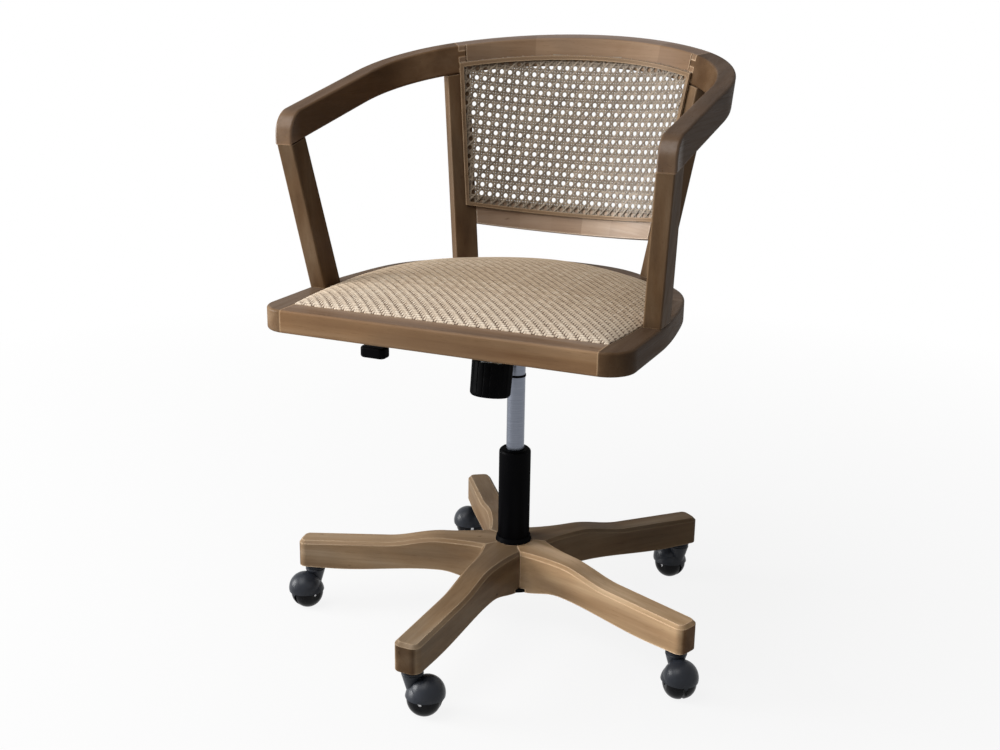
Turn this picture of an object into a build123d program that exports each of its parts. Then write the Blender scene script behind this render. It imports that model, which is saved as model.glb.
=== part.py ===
from build123d import *
import os
from math import cos, degrees, hypot, radians, sin, sqrt, tan

# Desk chair: a finger-jointed arm bow on a cane back and a woven seat, carried by a sprung
# tilt mechanism and a gas lift on a wooden five-leg base with hooded casters.
# Millimetres. Origin on the floor under the column, +Z up, the sitter faces -Y.

# Casters
wheel_radius = 25.0
wheel_width = 20.0
wheel_cap_radius = 9.0
caster_web = 5.0
wheel_side_gap = 0.6
hood_gap = 0.5
hood_wall = 1.6
hood_rim_rise = 4.5
hood_dome_radius = 26.0
hood_dome_back = 4.3
hood_dome_rise = 9.3
hood_waist_radius = 8.0
hood_waist_height = 33.0
caster_trail = 18.0
caster_height = 72.0
neck_radius = 16.0
neck_groove = 0.9
neck_height = 9.0
stem_radius = 5.5
stem_in_neck = 18.0
stem_in_leg = 30.0
axle_radius = 3.0
axle_boss_radius = 6.0
socket_wall = 1.5
socket_flange_radius = 15.0
socket_flange = 1.7
socket_end_gap = 3.0
running_gap = 0.05
caster_angles = (249.0, 8.0, 308.0, 157.0, 215.0)

# Wooden legs
leg_count = 5
first_leg_angle = 196.1
leg_reach = 351.0
leg_tip_overhang = 23.0
leg_tip_width = 41.0
leg_tip_height = 44.0
leg_tip_corner = 13.0
leg_root_height = 67.0
leg_shoulder_reach = 46.0
leg_waist_reach = 165.0
leg_flare_slope = 0.35
leg_crest_reach = 112.0
leg_crest_height = 65.5
leg_dip_reach = 208.0
leg_dip_height = 51.0
leg_arch_reach = 118.0
leg_arch_rise = 12.0
leg_foot_reach = 300.0
leg_heel_reach = 46.0
leg_chamfer = 5.0
leg_seam = 0.8

# Steel hub and column
hub_tube_radius = 28.0
hub_flange_radius = 62.0
hub_flange = 5.0
hub_recess = 1.0
hub_top_drop = 1.0
leg_bolt_circle_radius = 48.0
leg_bolt_offset = 14.0
leg_bolt_radius = 3.0
leg_bolt_head_radius = 6.0
leg_bolt_length = 32.0
fit_gap = 0.1
column_radius = 25.0
column_wall = 1.8
column_top = 293.0
column_top_round = 6.0
column_foot_radius = 23.8
column_floor = 4.0
column_floor_height = 76.0
collar_radius = 28.7
collar_height = 8.0
collar_top_wall = 1.6
bush_length = 80.0

# Gas lift
cylinder_radius = 14.0
cylinder_bore_radius = 11.5
cylinder_foot = 200.0
cylinder_cap = 12.0
cylinder_bore_top = 430.0
taper_foot = 446.0
taper_top = 490.0
taper_top_radius = 13.2
cylinder_ring_height = 411.0
cylinder_ring_width = 3.5
cylinder_ring_wall = 0.8
rod_radius = 5.0
rod_foot = 70.0
piston_height = 12.0
clip_radius = 10.0
clip_thickness = 2.0
bearing_radius = 15.0
bearing_race = 2.0
bearing_cage = 3.5
release_pin_radius = 4.0
release_pin_foot = 436.0
seat_gap = 0.3

# Tilt mechanism
housing_half_width = 45.0
housing_front = -108.0
housing_back = 42.0
housing_floor = 480.0
housing_wall_height = 14.0
sheet = 3.0
socket_tube_radius = 19.0
tilt_pivot_y = -26.0
tilt_pivot_z = 500.0
tilt_pin_radius = 5.0
tilt_pin_head_radius = 8.0
pivot_lug_radius = 13.0
ear_gap = 1.5
seat_plate_half_width = 75.0
seat_plate_front = -122.0
seat_plate_back = 70.0
seat_plate_corner = 12.0
plate_screw_inset = 13.0
plate_screw_radius = 3.0
plate_screw_head_radius = 6.0
plate_screw_head = 4.0
plate_screw_length = 11.0
bolt_lean = 10.0
knob_foot_y = -99.0
knob_foot_z = 406.0
knob_radius = 31.0
knob_height = 52.0
knob_draft = 0.8
knob_rim_round = 6.0
knob_floor = 14.0
knob_bore_radius = 25.0
flute_count = 20
flute_radius = 2.4
bolt_radius = 4.0
bolt_slot_half_width = 7.0
bolt_slot_half_length = 20.0
bolt_head_radius = 7.5
bolt_head_flat = 3.5
bolt_hole_radius = 6.2
bolt_end_cover = 4.0
spring_radius = 17.0
spring_wire_radius = 2.2
spring_turns = 6
lever_radius = 4.0
lever_pivot_x = -56.0
lever_inner_reach = 8.0
lever_knee_x = -100.0
lever_bend = 22.0
lever_boss_radius = 7.0
lever_pin_radius = 2.5
lever_lug = 3.0
paddle_x = -221.0
paddle_y = -50.0
paddle_z = 434.0
paddle_length = 44.0
paddle_width = 26.0
paddle_height = 18.0
paddle_corner = 9.0
paddle_edge = 4.0

# Seat frame, board and pad
seat_top = 553.0
seat_thickness = 33.4
seat_front = -293.0
seat_half_width = 274.0
seat_corner = 40.0
seat_straight_end = -150.0
seat_back = 206.0
seat_edge_round = 4.0
seat_hips = ((0.958, 0.345), (0.85, 0.632), (0.56, 0.86))
front_seam = 235.0
back_seam = 20.0
pad_front = -254.0
pad_corner_half_width = 236.0
pad_half_width = 245.5
pad_back = 178.0
pad_gap = 0.6
pad_flare = 0.12
pad_hips = ((1.0, 0.31), (0.978, 0.53), (0.835, 0.755), (0.57, 0.885))
pad_foot_share = 0.985
pad_rise = ((1.0, 0.0), (0.9, 0.33), (0.75, 0.6), (0.52, 0.84), (0.2, 1.0))
pad_centre_y = -38.0
pad_crown = 35.0
cover_thickness = 2.0
board_thickness = 12.0
board_rebate = 6.0

# Back: every front face lies on one upright cone that opens upwards
back_axis_y = -34.0
back_radius_at_seat = 237.5
back_lean = 12.1
post_angle = 40.5
post_width = 38.0
post_depth = 28.0
post_edge = 2.5
rail_depth = 24.0
rail_height = 45.0
rail_foot_height = 44.0
rail_tilt = 15.0
cane_angle = 40.3
cane_gap = 0.3
cane_thickness = 1.6
cane_crest_lap = 18.0
cane_rail_lap = 17.0
opening_angle = 36.0
opening_pairs = 6
opening_rows = 6
opening_share = 0.5
bead_width = 6.0
bead_thickness = 3.2

# Arm bow and front posts
bow_height = 850.2
bow_slope = 0.2
bow_thickness = 43.4
bow_width = 28.0
arm_half_gap = 268.5
arm_front = -197.0
arm_nose = 36.0
bow_edge = 3.5
crest_half_angle = 37.8
finger_count = 5
finger_length = 13.0
front_post_width = 26.0
front_post_depth = 46.0
front_post_x = 259.4
front_post_y = -128.5
front_post_top_depth = 40.0
front_post_out = 22.0
front_post_edge = 2.5

# Wood joints
dowel_radius = 5.0
dowel_length = 40.0
frame_dowel_radius = 4.0
frame_dowel_spacing = 14.0
post_bolt_radius = 3.0
post_bolt_head_radius = 6.0
post_bolt_head = 5.0
front_post_bolt_length = 75.0
back_post_bolt_length = 40.0
front_bolt_x = 262.0

# Room given to cutting blocks beyond the piece they cut
spare = 60.0
far = 700.0

os.makedirs("parts", exist_ok=True)


def save(name, *solids):
    """Write one node, a single solid or a group of separate solids."""
    whole = []
    for shape in solids:
        whole += list(shape.solids())
    shape = whole[0] if len(whole) == 1 else Compound(children=whole)
    export_step(shape, f"parts/{name}.step")


def turned(points):
    """Solid of revolution about Z from (radius, height) points."""
    profile = make_face(Polyline(*[(r, 0, z) for r, z in points], close=True))
    return revolve(profile, Axis.Z)


def rod(start, end, radius):
    """Round bar between two points."""
    plane = Plane(start, z_dir=Vector(end) - Vector(start))
    return extrude(plane * Circle(radius), (Vector(end) - Vector(start)).length)


def block(x0, x1, y0, y1, z0, z1):
    """Box between two corners."""
    return Pos((x0 + x1) / 2, (y0 + y1) / 2, (z0 + z1) / 2) * Box(x1 - x0, y1 - y0, z1 - z0)


def side_slab(y0, y1, low, high):
    """Slab across the chair between two heights that are functions of y."""
    outline = Polyline((0, y0, low(y0)), (0, y1, low(y1)), (0, y1, high(y1)), (0, y0, high(y0)), close=True)
    return extrude(make_face(outline), far, both=True, dir=(1, 0, 0))


def mirrored(shape):
    return mirror(shape, Plane.YZ)


# Legs: bandsawn side profile crossed with the plan outline, then chamfered along the top
wedge_angle = 180.0 / leg_count
leg_angles = [first_leg_angle + 360.0 / leg_count * i for i in range(leg_count)]
hub_top = caster_height + leg_root_height - hub_top_drop
flange_top = caster_height + hub_recess + hub_flange


def leg_blank():
    half = leg_tip_width / 2
    seam_drop = leg_seam / 2 / cos(radians(wedge_angle))
    shoulder = (leg_shoulder_reach, leg_shoulder_reach * tan(radians(wedge_angle)) - seam_drop)
    waist = (leg_waist_reach, half)
    corner_start = (leg_reach - leg_tip_corner, half)
    corner_end = (leg_reach, half - leg_tip_corner)
    apex = (leg_seam / 2 / sin(radians(wedge_angle)), 0)
    side = [
        Line(apex, shoulder),
        Spline(shoulder, waist, tangents=((1, -leg_flare_slope), (1, 0))),
        Line(waist, corner_start),
        RadiusArc(corner_start, corner_end, leg_tip_corner),
    ]
    tip = Line(corner_end, (corner_end[0], -corner_end[1]))
    plan = make_face(side + [tip] + [mirror(edge, Plane.XZ) for edge in side])
    foot = caster_height
    tip_fall = (leg_dip_height - leg_tip_height) / (leg_reach - leg_dip_reach)
    root = (0, 0, foot + leg_root_height)
    crest = (leg_crest_reach, 0, foot + leg_crest_height)
    dip = (leg_dip_reach, 0, foot + leg_dip_height)
    tip_top = (leg_reach, 0, foot + leg_tip_height)
    tip_foot = (leg_reach, 0, foot)
    foot_end = (leg_foot_reach, 0, foot)
    arch = (leg_arch_reach, 0, foot + leg_arch_rise)
    heel = (leg_heel_reach, 0, foot)
    profile = make_face([
        Spline(root, crest, tangents=((1, 0, 0), (1, 0, 0))),
        Spline(crest, dip, tangents=((1, 0, 0), (1, 0, -tip_fall))),
        Line(dip, tip_top),
        Line(tip_top, tip_foot),
        Line(tip_foot, foot_end),
        Spline(foot_end, arch, tangents=((-1, 0, 0), (-1, 0, 0))),
        Spline(arch, heel, tangents=((-1, 0, 0), (-1, 0, 0))),
        Line(heel, (0, 0, foot)),
        Line((0, 0, foot), root),
    ])
    blank = extrude(profile, far, both=True) & extrude(plan, far)
    top_middle = foot + leg_tip_height / 2
    top_edges = [
        edge for edge in blank.edges()
        if edge.center().Z > top_middle and edge.center().X > leg_shoulder_reach
        and edge.bounding_box().min.Z > top_middle and abs(edge.center().Y) > leg_tip_width / 4
    ]
    tip_edges = [
        edge for edge in blank.edges()
        if edge.bounding_box().min.Z > top_middle and edge.center().X > leg_reach - leg_tip_corner
        and abs(edge.center().Y) <= leg_tip_width / 4
    ]
    return chamfer(top_edges + tip_edges, leg_chamfer)


def leg():
    body = leg_blank()
    body -= Cylinder(hub_tube_radius + fit_gap, far)
    recess_top = flange_top + fit_gap
    body -= Pos(0, 0, recess_top - far / 2) * Cylinder(hub_flange_radius + seat_gap, far)
    socket_hole = caster_height + stem_in_leg + socket_end_gap
    socket_radius = stem_radius + running_gap + socket_wall
    body -= Pos(leg_reach - leg_tip_overhang, 0, socket_hole / 2) * Cylinder(socket_radius, socket_hole)
    for offset in (-leg_bolt_offset, leg_bolt_offset):
        body -= leg_bolt(offset, fit_gap / 2)
    return body


def leg_bolt(offset, grow=0.0):
    foot = caster_height + hub_recess
    slope = leg_bolt_head_radius - leg_bolt_radius
    head = [
        (0, foot), (leg_bolt_head_radius + grow, foot), (leg_bolt_radius + grow, foot + slope),
        (leg_bolt_radius + grow, foot + leg_bolt_length + grow), (0, foot + leg_bolt_length + grow),
    ]
    return Pos(leg_bolt_circle_radius, offset, 0) * turned(head)


leg_solid = leg()
for number, angle in enumerate(leg_angles, 1):
    save(f"leg_{number}", Rot(0, 0, angle) * leg_solid)

bolts = [
    Rot(0, 0, angle) * leg_bolt(offset)
    for angle in leg_angles for offset in (-leg_bolt_offset, leg_bolt_offset)
]
save("leg_bolts", *bolts)

# Hub: tapered tube with a flange let into the undersides of the legs
hub_foot = caster_height + hub_recess
hub = turned([(0, hub_foot), (hub_tube_radius, hub_foot), (hub_tube_radius, hub_top), (0, hub_top)])
hub += turned([(0, hub_foot), (hub_flange_radius, hub_foot), (hub_flange_radius, flange_top), (0, flange_top)])
taper_rate = (column_radius - column_foot_radius) / (hub_top - column_floor_height)


def column_taper_radius(z):
    return column_radius - (hub_top - z) * taper_rate


hub -= turned([
    (0, hub_foot), (column_taper_radius(hub_foot) + fit_gap, hub_foot),
    (column_radius + fit_gap, hub_top), (0, hub_top),
])
for bolt in bolts:
    hub -= bolt
save("base_hub", hub)

# Column: tapered foot, straight tube and rolled top, with its collar, guide bush and bearing
column_bore = column_radius - column_wall
floor_top = column_floor_height + column_floor
outer = turned([
    (0, column_floor_height), (column_foot_radius, column_floor_height), (column_radius, hub_top),
    (column_radius, column_top), (0, column_top),
])
outer = fillet(outer.edges().group_by(Axis.Z)[-1], column_top_round)
foot_bore = column_foot_radius - column_wall
outer -= turned([
    (0, floor_top), (foot_bore, floor_top), (foot_bore, hub_top), (column_bore, hub_top + column_wall),
    (column_bore, column_top - bush_length), (column_bore - column_wall, column_top - bush_length),
    (column_bore - column_wall, column_top), (0, column_top),
])
outer -= Pos(0, 0, column_floor_height) * Cylinder(rod_radius + running_gap, spare)
save("column_tube", outer)

collar_foot = caster_height + leg_root_height + fit_gap
collar = turned([
    (column_radius + fit_gap, collar_foot), (collar_radius, collar_foot),
    (column_radius + collar_top_wall, collar_foot + collar_height),
    (column_radius + fit_gap, collar_foot + collar_height),
])
save("column_collar", collar)

bush_radius = column_bore - column_wall - fit_gap
bush_foot = column_top - bush_length
save("guide_bush", turned([
    (cylinder_radius + running_gap, bush_foot), (bush_radius, bush_foot), (bush_radius, column_top),
    (cylinder_radius + running_gap, column_top),
]))


def washer(inner, outer_radius, z0, z1):
    return turned([(inner, z0), (outer_radius, z0), (outer_radius, z1), (inner, z1)])


rod_bore = rod_radius + running_gap
race_top = floor_top + bearing_race
cage_top = race_top + bearing_cage
save(
    "thrust_bearing",
    washer(rod_bore, bearing_radius, floor_top, race_top),
    washer(rod_bore + bearing_race, bearing_radius - bearing_race, race_top, cage_top),
    washer(rod_bore, bearing_radius, cage_top, cage_top + bearing_race),
)

# Gas lift: the rod stays in the column and the cylinder slides over its piston
cap_top = cylinder_foot + cylinder_cap
piston_foot = cap_top + seat_gap
piston_radius = cylinder_bore_radius - running_gap
save("piston_rod", turned([
    (0, rod_foot), (rod_radius, rod_foot), (rod_radius, piston_foot), (piston_radius, piston_foot),
    (piston_radius, piston_foot + piston_height), (0, piston_foot + piston_height),
]))
clip_top = column_floor_height - seat_gap
save("retaining_clip", washer(rod_bore, clip_radius, clip_top - clip_thickness, clip_top))

pin_bore = release_pin_radius + running_gap
save("gas_cylinder", turned([
    (rod_bore, cylinder_foot), (cylinder_radius, cylinder_foot), (cylinder_radius, taper_foot),
    (taper_top_radius, taper_top), (pin_bore, taper_top), (pin_bore, cylinder_bore_top),
    (cylinder_bore_radius, cylinder_bore_top), (cylinder_bore_radius, cap_top), (rod_bore, cap_top),
]))
save("cylinder_ring", washer(
    cylinder_radius + running_gap, cylinder_radius + cylinder_ring_wall,
    cylinder_ring_height, cylinder_ring_height + cylinder_ring_width,
))

lever_z = tilt_pivot_z
pin_top = lever_z - lever_radius - seat_gap
pin_dome = release_pin_radius / 2
release_pin = Pos(0, 0, (release_pin_foot + pin_top) / 2) * Cylinder(release_pin_radius, pin_top - release_pin_foot)
release_pin = fillet(release_pin.edges().group_by(Axis.Z)[-1], pin_dome)
save("release_pin", release_pin)

# Tilt housing: folded channel with pivot lugs, lever lugs and the taper socket for the gas lift
seat_foot = seat_top - seat_thickness
plate_foot = seat_foot - sheet
wall_top = housing_floor + housing_wall_height
housing = block(-housing_half_width, housing_half_width, housing_front, housing_back, housing_floor, wall_top)
lug = Pos(0, tilt_pivot_y, tilt_pivot_z) * Rot(0, 90, 0) * Cylinder(pivot_lug_radius, 2 * housing_half_width)
lug += block(
    -housing_half_width, housing_half_width, tilt_pivot_y - pivot_lug_radius, tilt_pivot_y + pivot_lug_radius,
    housing_floor, tilt_pivot_z,
)
housing += lug
housing -= block(
    sheet - housing_half_width, housing_half_width - sheet, housing_front - spare, housing_back - sheet,
    housing_floor + sheet, tilt_pivot_z + spare,
)
housing += Pos(0, 0, (taper_foot + taper_top) / 2) * Cylinder(socket_tube_radius, taper_top - taper_foot)
lever_lug_in = lever_boss_radius + running_gap
lever_lug_out = lever_lug_in + lever_lug
for lug_side in (-1, 1):
    y0, y1 = sorted((lug_side * lever_lug_in, lug_side * lever_lug_out))
    ear = block(lever_pivot_x, -housing_half_width, y0, y1, housing_floor, wall_top)
    ear += block(
        lever_pivot_x - lever_boss_radius, lever_pivot_x + lever_boss_radius, y0, y1, housing_floor + sheet, lever_z,
    )
    ear += Pos(lever_pivot_x, (y0 + y1) / 2, lever_z) * Rot(90, 0, 0) * Cylinder(lever_boss_radius, lever_lug)
    housing += ear
housing -= turned([
    (0, taper_foot), (cylinder_radius + fit_gap, taper_foot), (taper_top_radius + fit_gap, taper_top), (0, taper_top),
])
bolt_up = Vector(0, sin(radians(bolt_lean)), cos(radians(bolt_lean)))
knob_plane = Plane((0, knob_foot_y, knob_foot_z), x_dir=(1, 0, 0), z_dir=bolt_up)


def along_bolt(z):
    """Distance up the leaning bolt axis at which it reaches a height."""
    return (z - knob_foot_z) / bolt_up.Z


def bolt_y(z):
    return knob_foot_y + (z - knob_foot_z) * tan(radians(bolt_lean))


slot = Pos(0, bolt_y(housing_floor), housing_floor) * Rot(0, 0, 90)
housing -= extrude(slot * SlotOverall(2 * bolt_slot_half_length, 2 * bolt_slot_half_width), 2 * sheet, both=True)
pin_hole = Pos(0, tilt_pivot_y, tilt_pivot_z) * Rot(0, 90, 0) * Cylinder(tilt_pin_radius + running_gap, far)
housing -= pin_hole
lever_hole = Pos(lever_pivot_x, 0, lever_z) * Rot(90, 0, 0) * Cylinder(lever_pin_radius + running_gap, spare)
housing -= lever_hole
save("mechanism_housing", housing)

ear_in = housing_half_width + ear_gap
ear_out = ear_in + sheet
pin_end = ear_out + seat_gap
tilt_pin = Rot(0, 90, 0) * Cylinder(tilt_pin_radius, 2 * pin_end)
for side in (-1, 1):
    tilt_pin += Pos(side * (pin_end + sheet / 2), 0, 0) * Rot(0, 90, 0) * Cylinder(tilt_pin_head_radius, sheet)

lever_pin_half = lever_lug_out + running_gap
lever_pin = Rot(90, 0, 0) * Cylinder(lever_pin_radius, 2 * lever_pin_half)
save("pivot_pins", Pos(0, tilt_pivot_y, tilt_pivot_z) * tilt_pin, Pos(lever_pivot_x, 0, lever_z) * lever_pin)

# Height lever: bent rod from above the release pin out to the paddle
lever_knee = Vector(lever_knee_x, 0, lever_z)
lever_end = Vector(paddle_x, paddle_y, paddle_z)
lever_path = FilletPolyline((lever_inner_reach, 0, lever_z), lever_knee, lever_end, radius=lever_bend)
lever = sweep(Plane(lever_path @ 0, z_dir=lever_path % 0) * Circle(lever_radius), lever_path)
lever_boss_half = lever_boss_radius - seat_gap
lever += Pos(lever_pivot_x, 0, lever_z) * Rot(90, 0, 0) * Cylinder(lever_boss_radius, 2 * lever_boss_half)
lever -= lever_hole
save("height_lever", lever)

paddle_foot = Pos(paddle_x, paddle_y, paddle_z - paddle_height / 2)
paddle = extrude(paddle_foot * RectangleRounded(paddle_length, paddle_width, paddle_corner), paddle_height)
paddle = fillet(paddle.faces().sort_by(Axis.Z)[0].edges() + paddle.faces().sort_by(Axis.Z)[-1].edges(), paddle_edge)
lever_run = (lever_knee - lever_end).normalized()
paddle -= rod(lever_end - lever_run * fit_gap, lever_end + lever_run * paddle_length, lever_radius + fit_gap)
save("lever_paddle", paddle)

# Seat plate: flat plate with two ears on the tilt pin, screwed up into the seat board
plate_middle = (seat_plate_front + seat_plate_back) / 2
plate = extrude(
    Pos(0, plate_middle, plate_foot)
    * RectangleRounded(2 * seat_plate_half_width, seat_plate_back - seat_plate_front, seat_plate_corner),
    sheet,
)
for side in (-1, 1):
    x0, x1 = sorted((side * ear_in, side * ear_out))
    y0, y1 = tilt_pivot_y - pivot_lug_radius, tilt_pivot_y + pivot_lug_radius
    plate += block(x0, x1, y0, y1, tilt_pivot_z, plate_foot)
    plate += Pos((x0 + x1) / 2, tilt_pivot_y, tilt_pivot_z) * Rot(0, 90, 0) * Cylinder(pivot_lug_radius, sheet)
plate -= pin_hole
head_rise = sqrt(bolt_head_radius ** 2 - bolt_hole_radius ** 2) + seat_gap
head_z = seat_foot + head_rise
plate -= Pos(0, bolt_y(head_z), plate_foot) * Cylinder(bolt_hole_radius, spare)
screw_places = [
    (side * (seat_plate_half_width - plate_screw_inset), y)
    for side in (-1, 1) for y in (seat_plate_front + plate_screw_inset, seat_plate_back - plate_screw_inset)
]


def plate_screw(x, y, grow=0.0):
    tip = seat_foot + plate_screw_length + grow
    shank = plate_screw_radius + grow
    return Pos(x, y, 0) * turned([
        (0, plate_foot - plate_screw_head), (plate_screw_head_radius, plate_foot - plate_screw_head),
        (plate_screw_head_radius, plate_foot), (shank, plate_foot), (shank, tip), (0, tip),
    ])


for place in screw_places:
    plate -= plate_screw(*place, grow=fit_gap)
save("seat_plate", plate)
save("seat_plate_screws", *[plate_screw(*place) for place in screw_places])

# Tension bolt, spring and fluted knob hang from the front of the seat plate
bolt = knob_plane * extrude(Pos(0, 0, bolt_end_cover) * Circle(bolt_radius), along_bolt(head_z) - bolt_end_cover)
head = Pos(0, bolt_y(head_z), head_z) * Sphere(bolt_head_radius)
head &= block(-far, far, -far, far, 0, head_z + bolt_head_flat)
save("tension_bolt", bolt + head)

knob = turned([
    (0, 0), (knob_radius - knob_draft, 0), (knob_radius, knob_height), (knob_bore_radius, knob_height),
    (knob_bore_radius, knob_floor), (0, knob_floor),
])
rim = knob.edges().group_by(Axis.Z)[0]
knob = fillet(rim, knob_rim_round)
for flute in range(flute_count):
    knob -= Rot(0, 0, 360 / flute_count * flute) * Pos(knob_radius + flute_radius / 2, 0, 0) * Cylinder(
        flute_radius, far)
knob -= Pos(0, 0, bolt_end_cover - seat_gap + far / 2) * Cylinder(bolt_radius + running_gap, far)
save("tension_knob", knob_plane * knob)

spring_foot = knob_floor + spring_wire_radius + seat_gap
shelf_lean = (spring_radius + spring_wire_radius) * tan(radians(bolt_lean))
spring_top = along_bolt(housing_floor) - shelf_lean - spring_wire_radius
coil = Helix((spring_top - spring_foot) / spring_turns, spring_top - spring_foot, spring_radius)
spring = sweep(Plane(coil @ 0, z_dir=coil % 0) * Circle(spring_wire_radius), coil, is_frenet=True)
spring_pitch = (spring_top - spring_foot) / spring_turns
print("tilt spring, least gap between turns:", round(spring_pitch - 2 * spring_wire_radius, 2))
save("tilt_spring", knob_plane * Pos(0, 0, spring_foot) * spring)

# Back cone and the planes that the bow and the lower rail lie between
back_rate = tan(radians(back_lean))


def back_radius(z):
    """Radius of the cone that carries the front faces of the back."""
    return back_radius_at_seat + (z - seat_top) * back_rate


def bow_top(y):
    return bow_height + bow_slope * y


def bow_foot(y):
    return bow_top(y) - bow_thickness


def rail_foot(y):
    back_y = back_axis_y + back_radius(seat_top + rail_foot_height)
    return seat_top + rail_foot_height - (y - back_y) * tan(radians(rail_tilt))


def rail_top(y):
    return rail_foot(y) + rail_height


cone_foot = seat_foot - spare
cone_top = bow_top(seat_back + spare) + spare


def cone(offset):
    """Solid cone whose wall stands off the back's front faces by an offset outwards."""
    height = cone_top - cone_foot
    middle = Pos(0, back_axis_y, (cone_foot + cone_top) / 2)
    return middle * Cone(back_radius(cone_foot) + offset, back_radius(cone_top) + offset, height)


def wedge(half_angle):
    """Upright wedge behind the back axis, open to the rear."""
    reach = far / cos(radians(half_angle))
    side = (reach * sin(radians(half_angle)), back_axis_y + far)
    plan = make_face(Polyline((0, back_axis_y), side, (-side[0], side[1]), close=True))
    return extrude(plan, cone_top + spare)


# Back posts: leaning with the cone, let into the rear edge of the seat frame
post_rise = Vector(sin(radians(post_angle)) * back_rate, cos(radians(post_angle)) * back_rate, 1)


def post_prism(depth, width, inset=0.0):
    """Leaning prism on the right-hand post's place, from the seat's underside up."""
    start = back_radius(seat_foot) - inset
    spot = Pos(0, back_axis_y, seat_foot) * Rot(0, 0, -post_angle) * Pos(0, start + depth / 2)
    length = (cone_top - seat_foot) * post_rise.length
    return extrude(spot * Rectangle(width, depth), length, dir=post_rise)


below_bow = side_slab(arm_front - spare, seat_back + 3 * spare, lambda y: 0, bow_foot)
post_blank = post_prism(post_depth, post_width)
upright = [edge for edge in post_blank.edges() if edge.length > spare]
post = fillet(upright, post_edge) & below_bow
back_dir = Vector(sin(radians(post_angle)), cos(radians(post_angle)), 0)


def on_back(radius, z):
    """Point behind the right-hand post's middle line."""
    return Vector(0, back_axis_y, z) + back_dir * radius


bolt_z = seat_top - (seat_thickness - board_thickness) / 2
bolt_start = back_radius(bolt_z) + post_depth


def back_post_bolt(grow=0.0):
    outside = on_back(bolt_start + spare * (grow > 0), bolt_z)
    under_head = on_back(bolt_start - post_bolt_head, bolt_z)
    inside = on_back(bolt_start - back_post_bolt_length - grow, bolt_z)
    bar = rod(under_head, inside, post_bolt_radius + grow)
    return bar + rod(outside, under_head, post_bolt_head_radius + grow)


def post_dowel(middle, rise, grow=0.0):
    """Dowel centred on a joint and lying along a post."""
    half = rise.normalized() * (dowel_length / 2 + grow)
    return rod(middle - half, middle + half, dowel_radius + grow)


def height_under_bow(start, rise):
    """Point at which a line from the seat meets the underside of the bow."""
    steps = (bow_foot(start.Y) - start.Z) / (rise.Z - bow_slope * rise.Y)
    return start + rise * steps


post_middle = on_back(back_radius(seat_top) + post_depth / 2, seat_top)
back_dowel_place = height_under_bow(post_middle, post_rise)
back_post = post - back_post_bolt(fit_gap) - post_dowel(back_dowel_place, post_rise, fit_gap)
save("back_post_left", back_post)
save("back_post_right", mirrored(back_post))

# Front posts: tapered, leaning forwards and outwards up to the arms
post_height = bow_foot(arm_front + front_post_top_depth / 2) - seat_top
front_post_top_x = front_post_x + front_post_out
front_post_top_y = arm_front + front_post_top_depth / 2
front_rise = Vector(front_post_top_x - front_post_x, front_post_top_y - front_post_y, post_height)
overshoot = 1 + spare / post_height
front_blank = loft([
    Pos(front_post_x, front_post_y, seat_top) * Rectangle(front_post_width, front_post_depth),
    Pos(*(Vector(front_post_x, front_post_y, seat_top) + front_rise * overshoot))
    * Rectangle(front_post_width, front_post_depth + (front_post_top_depth - front_post_depth) * overshoot),
], ruled=True)
upright = [edge for edge in front_blank.edges() if edge.length > post_height]
front_post = fillet(upright, front_post_edge) & below_bow
front_dowel_place = Vector(front_post_top_x, front_post_top_y, seat_top + post_height)


def front_post_bolt(grow=0.0):
    head = (front_bolt_x, front_post_y, seat_foot + post_bolt_head)
    below = (front_bolt_x, front_post_y, seat_foot - spare * (grow > 0))
    tip = (front_bolt_x, front_post_y, seat_foot + front_post_bolt_length + grow)
    return rod(below, head, post_bolt_head_radius + grow) + rod(head, tip, post_bolt_radius + grow)


front_post = front_post - front_post_bolt(fit_gap) - post_dowel(front_dowel_place, front_rise, fit_gap)
save("front_post_left", front_post)
save("front_post_right", mirrored(front_post))
half_bolts = [front_post_bolt(), back_post_bolt()]
save("post_bolts", *half_bolts, *[mirrored(bolt) for bolt in half_bolts])
half_dowels = [post_dowel(front_dowel_place, front_rise), post_dowel(back_dowel_place, post_rise)]

# Arm bow: its inner wall runs from the cone at the crest to upright along the arms
sin_crest = sin(radians(crest_half_angle))
cos_crest = cos(radians(crest_half_angle))


def crest_face(z):
    inner = back_radius(z)
    turn = 2 * crest_half_angle
    start = 90 - crest_half_angle
    arcs = [CenterArc((0, back_axis_y), radius, start, turn) for radius in (inner, inner + bow_width)]
    ends = [Line(arcs[0] @ t, arcs[1] @ t) for t in (0, 1)]
    return Pos(0, 0, z) * make_face(arcs + ends)


def arm_face(z):
    """Right-hand arm in plan: bend tangent to the crest, then straight to the front."""
    crest = back_radius(z)
    bend = (arm_half_gap - crest * sin_crest) / (1 - sin_crest)
    centre = (arm_half_gap - bend, back_axis_y + (crest - bend) * cos_crest)
    arcs = [CenterArc(centre, radius, 0, 90 - crest_half_angle) for radius in (bend, bend + bow_width)]
    fronts = [(arm_half_gap, arm_front), (arm_half_gap + bow_width, arm_front)]
    sides = [Line(arcs[i] @ 0, fronts[i]) for i in (0, 1)]
    return Pos(0, 0, z) * make_face(arcs + sides + [Line(*fronts), Line(arcs[0] @ 1, arcs[1] @ 1)])


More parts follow.
